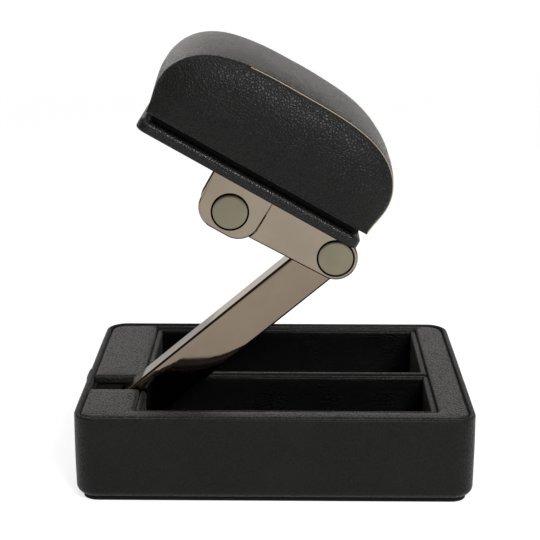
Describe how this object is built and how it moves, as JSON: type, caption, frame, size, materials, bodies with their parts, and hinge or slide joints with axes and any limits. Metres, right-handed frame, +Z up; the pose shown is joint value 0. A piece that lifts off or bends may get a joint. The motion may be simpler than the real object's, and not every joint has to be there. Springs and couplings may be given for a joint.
{
  "type": "watch stand",
  "caption": "Desk stand for a watch: a shallow leather covered box with two open wells, and a folding metal arm and link that carry a padded cushion on a tilting tray.",
  "frame": {"origin": "centre of the underside of the box, on the surface that it stands on", "axes": "+X to the right along the box's long side, +Y away from the front, +Z up"},
  "size_m": [0.121, 0.0904, 0.135],
  "materials": {
    "leather": "pebbled black leather, semi-matt",
    "foot_board": "black board",
    "core_board": "plain fibreboard",
    "polished_metal": "polished dark nickel on steel",
    "pin_metal": "polished dark nickel on steel",
    "plain_steel": "plain steel",
    "washer_plastic": "matt black plastic",
    "cushion_filling": "foam"
  },
  "bodies": {
    "base": {"foot_plate": "foot_board", "base_core": "core_board", "base_wrap": "leather", "rim_pad": "leather", "front_liner": "leather", "rear_liner": "leather", "hinge_saddle": "plain_steel", "saddle_screw_1": "plain_steel", "saddle_screw_2": "plain_steel", "hinge_pin": "plain_steel", "hinge_washer_front": "washer_plastic", "hinge_washer_rear": "washer_plastic"},
    "lower_arm": {"arm": "polished_metal"},
    "upper_link": {"link": "polished_metal", "elbow_pin": "pin_metal", "elbow_pin_cap": "pin_metal", "elbow_washer_front": "washer_plastic", "elbow_washer_rear": "washer_plastic"},
    "tray": {"bracket": "polished_metal", "bracket_screw_1": "plain_steel", "bracket_screw_2": "plain_steel", "bracket_screw_3": "plain_steel", "bracket_screw_4": "plain_steel", "tilt_pin": "pin_metal", "tilt_pin_cap": "pin_metal", "tilt_washer_front": "washer_plastic", "tilt_washer_rear": "washer_plastic", "tray_board": "core_board", "tray_wrap": "leather"},
    "cushion": {"cushion_base": "foot_board", "cushion_bottom_panel": "leather", "cushion_foam": "cushion_filling", "cushion_band": "leather", "cushion_front_panel": "leather", "cushion_rear_panel": "leather"}
  },
  "joints": [
    {"name": "arm_fold", "type": "hinge", "parent": "base", "child": "lower_arm", "pos_m": [-0.049, -0.0138, 0.01546], "axis": [0, 1, 0], "range_deg": [-29.8, 34.5]},
    {"name": "link_fold", "type": "hinge", "parent": "lower_arm", "child": "upper_link", "pos_m": [0.01844, -0.0138, 0.06982], "axis": [0, 1, 0], "range_deg": [-34.5, 29.8]},
    {"name": "tray_tilt", "type": "hinge", "parent": "upper_link", "child": "tray", "pos_m": [-0.0137, -0.0138, 0.0843], "axis": [0, 1, 0], "range_deg": [-45, 0]},
    {"name": "cushion_lift", "type": "slide", "parent": "tray", "child": "cushion", "axis": [0.493, 0, 0.87], "range_m": [0, 0.035]}
  ],
  "couplings": [
    {"joint": "link_fold", "follows": "arm_fold", "ratio": -1}
  ]
}
